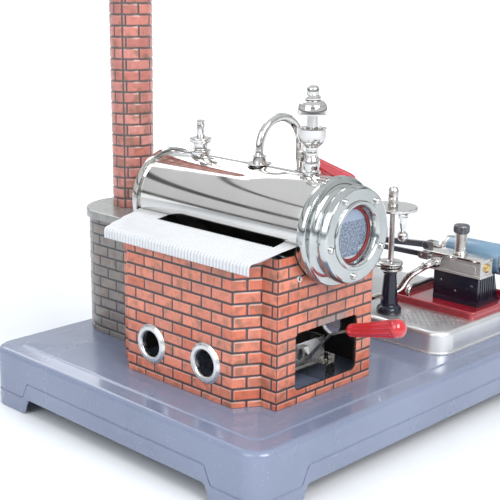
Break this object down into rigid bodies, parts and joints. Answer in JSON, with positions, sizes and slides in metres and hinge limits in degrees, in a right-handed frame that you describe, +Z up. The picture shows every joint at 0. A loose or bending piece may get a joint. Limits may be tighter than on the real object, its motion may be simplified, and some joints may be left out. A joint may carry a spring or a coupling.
{
  "type": "model steam engine",
  "caption": "Model steam engine: horizontal boiler over a brick-pattern firehouse with chimney, whistle and safety valve, driving a slide-valve cylinder, crankshaft and ball governor.",
  "frame": {"origin": "centre of the overall footprint, burner grip included, on the table surface under the feet", "axes": "+X towards the engine side, +Y towards the chimney end, +Z up"},
  "size_m": [0.2744, 0.2342, 0.26],
  "materials": {
    "base_enamel": "gloss",
    "brick_print": "gloss, printed and embossed brick",
    "stone_print": "satin, printed stone",
    "stack_print": "gloss, printed brick",
    "white_enamel": "gloss",
    "nickel": "polished nickel",
    "satin_steel": "satin",
    "dark_steel": "satin",
    "brass": "polished",
    "glass": "clear",
    "red_gasket": "matte",
    "red_enamel": "gloss",
    "red_grip": "gloss",
    "black_enamel": "gloss black",
    "blue_enamel": "gloss",
    "plate_silver": "satin, embossed",
    "spring_belt": "coiled wire"
  },
  "bodies": {
    "frame": {"base_plate": "base_enamel", "house_front_wall": "brick_print", "house_body": "brick_print", "porthole_rings": "nickel", "wall_eyelets": "nickel", "awning_left": "white_enamel", "awning_right": "white_enamel", "chimney_base": "stone_print", "chimney_cap_slab": "stone_print", "chimney_tube": "stack_print", "boiler_barrel": "nickel", "boiler_rear_cap": "nickel", "boiler_front_flange": "nickel", "glass_gasket": "red_gasket", "sight_glass": "glass", "sight_glass_ring": "nickel", "ring_screws": "nickel", "safety_valve_body": "nickel", "safety_valve_spring": "satin_steel", "whistle_body": "nickel", "whistle_bell": "nickel", "steam_pipe": "nickel", "steam_pipe_nuts": "nickel", "exhaust_pipe": "nickel", "burner_rails": "satin_steel", "engine_plate": "plate_silver", "drip_tray": "red_enamel", "engine_pedestal": "black_enamel", "pedestal_screws": "satin_steel", "cylinder": "satin_steel", "cylinder_lagging": "blue_enamel", "cylinder_covers": "nickel", "steam_chest": "satin_steel", "steam_chest_cover": "nickel", "chest_plug": "brass", "oiler_body": "satin_steel", "shaft_bearings": "black_enamel", "governor_column": "black_enamel", "drive_belt": "spring_belt"},
    "burner": {"burner_tray": "satin_steel", "burner_handle": "satin_steel", "burner_grip": "red_grip"},
    "safety_valve_stem": {"safety_valve_stem": "nickel"},
    "whistle_lever": {"whistle_lever": "satin_steel", "whistle_grip": "red_grip"},
    "oiler_cap": {"oiler_cap": "dark_steel"},
    "crankshaft": {"crankshaft": "satin_steel", "eccentric_sheave": "satin_steel", "drive_pulley": "satin_steel", "flywheel": "red_enamel"},
    "piston": {"piston_and_rod": "satin_steel", "crosshead_pin": "satin_steel"},
    "connecting_rod": {"connecting_rod": "dark_steel"},
    "valve": {"valve_and_rod": "satin_steel"},
    "eccentric_rod": {"eccentric_rod": "dark_steel"},
    "governor": {"governor_spindle": "satin_steel", "governor_disc": "nickel", "governor_cap_nut": "satin_steel"},
    "governor_arm_near": {"governor_arm_near": "nickel"},
    "governor_arm_far": {"governor_arm_far": "nickel"}
  },
  "joints": [
    {"name": "burner_slide", "type": "slide", "parent": "frame", "child": "burner", "axis": [0, -1, 0], "range_m": [0, 0.09]},
    {"name": "safety_valve_lift", "type": "slide", "parent": "frame", "child": "safety_valve_stem", "axis": [0, 0, 1], "range_m": [0, 0.0012], "stiffness_N_per_m": 300, "deforming": ["safety_valve_spring"]},
    {"name": "whistle_lever_hinge", "type": "hinge", "parent": "frame", "child": "whistle_lever", "pos_m": [-0.0572, -0.05011, 0.1555], "axis": [0, -1, 0], "range_deg": [0, 25]},
    {"name": "oiler_cap_lift", "type": "slide", "parent": "frame", "child": "oiler_cap", "axis": [0, 0, 1], "range_m": [0, 0.012]},
    {"name": "crankshaft_spin", "type": "hinge", "parent": "frame", "child": "crankshaft", "pos_m": [0, 0.03769, 0.0744], "axis": [1, 0, 0], "continuous": true},
    {"name": "piston_slide", "type": "slide", "parent": "frame", "child": "piston", "axis": [0, 1, 0], "range_m": [-0.00096, 0.01504]},
    {"name": "connecting_rod_hinge", "type": "hinge", "parent": "piston", "child": "connecting_rod", "pos_m": [0.1097, -0.01101, 0.0744], "axis": [1, 0, 0], "range_deg": [-6.2, 15.8]},
    {"name": "valve_slide", "type": "slide", "parent": "frame", "child": "valve", "axis": [0, 1, 0], "range_m": [-0.0022, 0.0022]},
    {"name": "eccentric_rod_hinge", "type": "hinge", "parent": "valve", "child": "eccentric_rod", "pos_m": [0.0909, -0.02041, 0.0731], "axis": [1, 0, 0], "range_deg": [0, 4.3]},
    {"name": "governor_spin", "type": "hinge", "parent": "frame", "child": "governor", "pos_m": [0.04375, -0.03101, 0], "axis": [0, 0, 1], "continuous": true},
    {"name": "governor_arm_near_swing", "type": "hinge", "parent": "governor", "child": "governor_arm_near", "pos_m": [0.03898, -0.04246, 0.1091], "axis": [-0.9232, 0.3843, 0], "range_deg": [0, 35]},
    {"name": "governor_arm_far_swing", "type": "hinge", "parent": "governor", "child": "governor_arm_far", "pos_m": [0.04852, -0.01956, 0.1091], "axis": [0.9232, -0.3843, 0], "range_deg": [0, 35]}
  ],
  "couplings": [
    {"joint": "governor_spin", "follows": "crankshaft_spin", "ratio": 1.129},
    {"joint": "governor_arm_far_swing", "follows": "governor_arm_near_swing", "ratio": 1}
  ]
}
